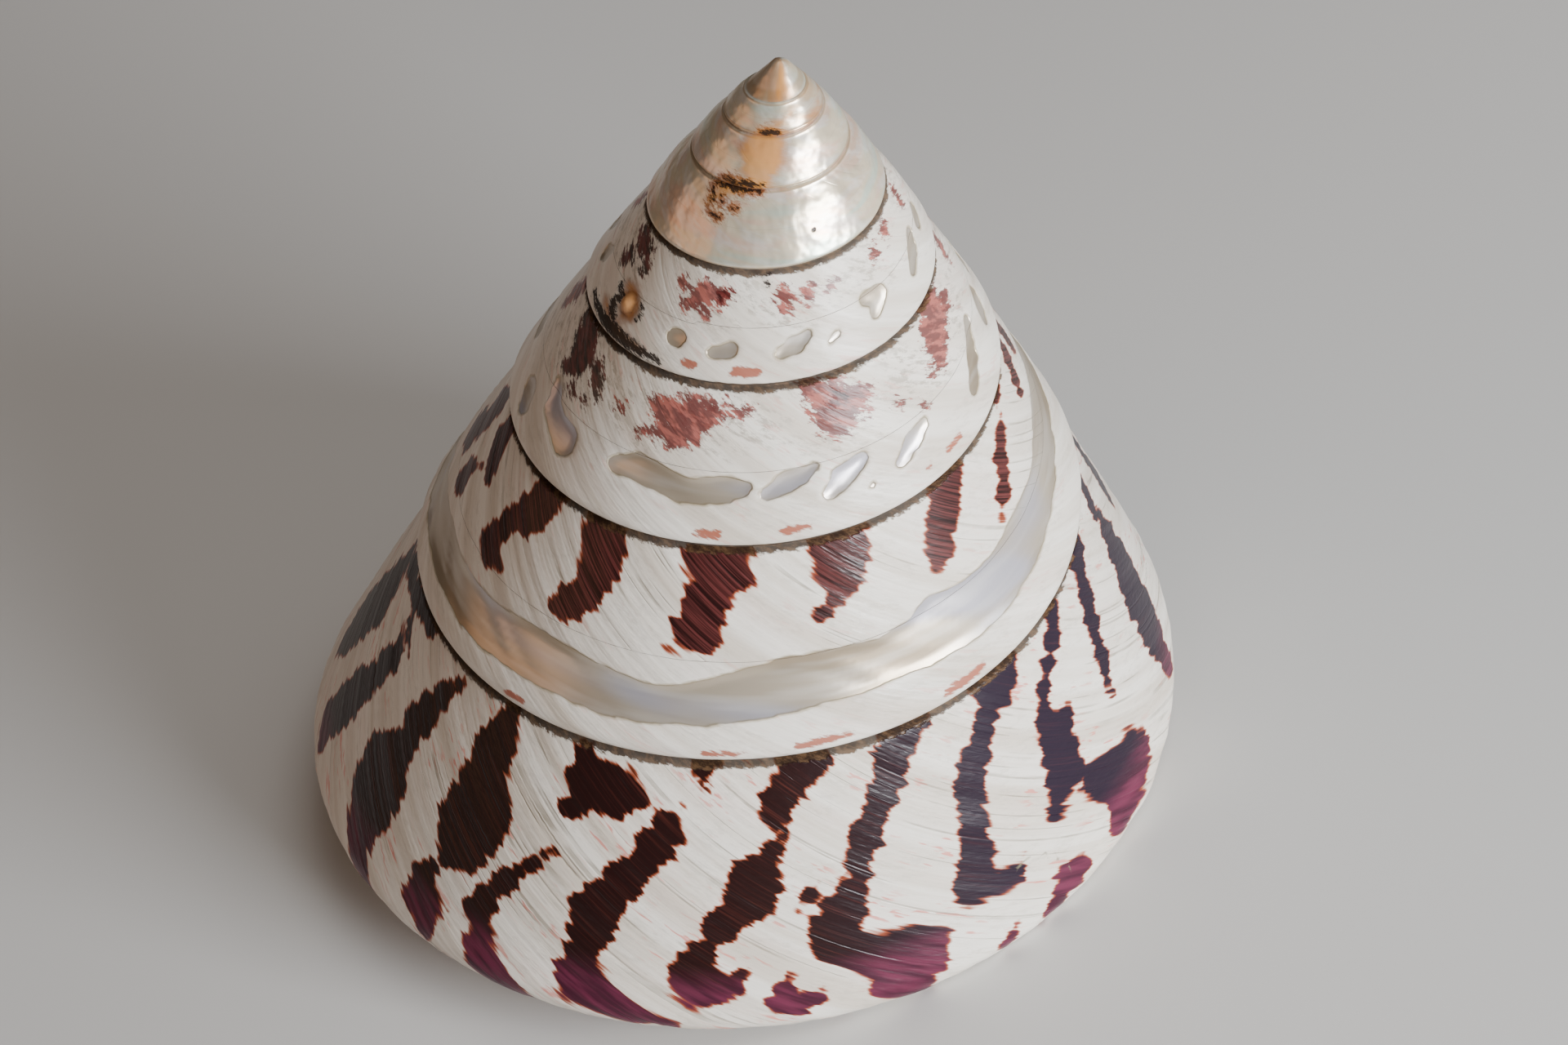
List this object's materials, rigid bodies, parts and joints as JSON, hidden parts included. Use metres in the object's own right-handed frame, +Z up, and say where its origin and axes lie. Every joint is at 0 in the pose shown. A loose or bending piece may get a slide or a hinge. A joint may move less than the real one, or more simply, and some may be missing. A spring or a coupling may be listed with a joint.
{
  "type": "top shell",
  "caption": "Conical top shell, coiled to the right, with impressed sutures, a rounded lower edge, a flat base and an open slanting mouth at the back; it stands on its base.",
  "frame": {"origin": "centre of the bounding box, on the surface that the shell stands on", "axes": "+Z up, -Y towards the picture's viewpoint; the coiling axis leans about 14 degrees from +Z towards +X and -Y, as the shell comes to rest"},
  "size_m": [0.0786, 0.077, 0.0756],
  "materials": {
    "shell": "polished shell: ivory ground with dark maroon stripes and bare patches of mother-of-pearl"
  },
  "bodies": {
    "root": {"shell": "shell"}
  },
  "joints": []
}
